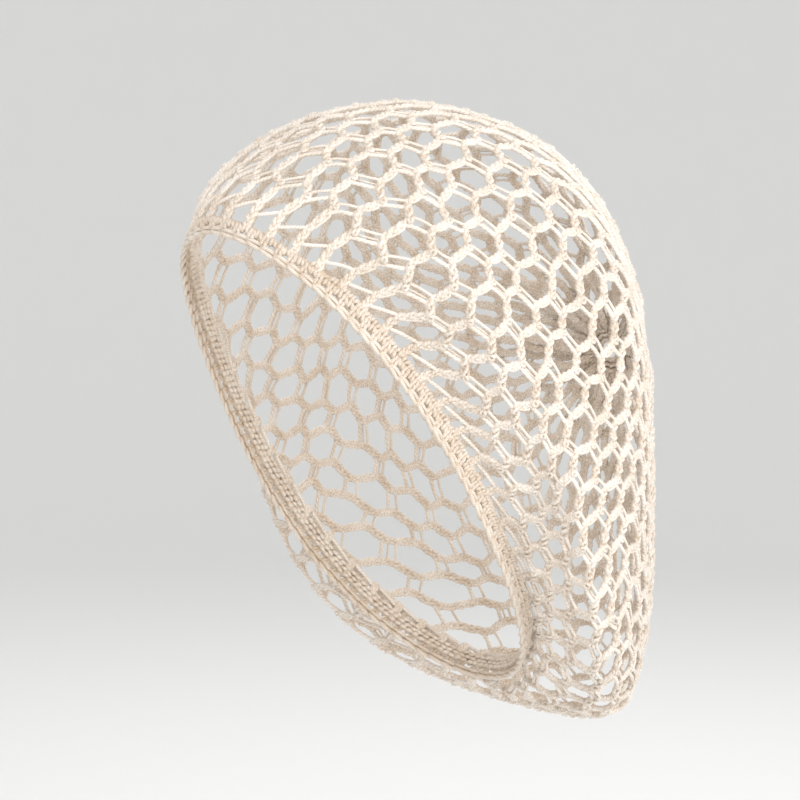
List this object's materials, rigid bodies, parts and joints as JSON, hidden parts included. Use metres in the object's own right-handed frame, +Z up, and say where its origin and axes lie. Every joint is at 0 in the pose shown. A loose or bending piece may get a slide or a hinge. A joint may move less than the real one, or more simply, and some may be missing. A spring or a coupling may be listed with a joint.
{
  "type": "crochet hair snood",
  "caption": "Crochet hair snood: a deep, coarse net bag that gathers to a small ring at the back, worked onto a dense band with a chain cord round its open front.",
  "frame": {"origin": "inside of the crown, where the net rests, in the middle plane", "axes": "+Z up, the open front towards -Y, the left side towards +X"},
  "size_m": [0.2196, 0.2736, 0.3083],
  "materials": {
    "net_yarn": "matte",
    "band_yarn": "matte",
    "cord_yarn": "matte",
    "ring_yarn": "matte"
  },
  "bodies": {
    "root": {"crochet_net": "net_yarn", "edge_band": "band_yarn", "edge_cord": "cord_yarn", "centre_ring": "ring_yarn"}
  },
  "joints": []
}
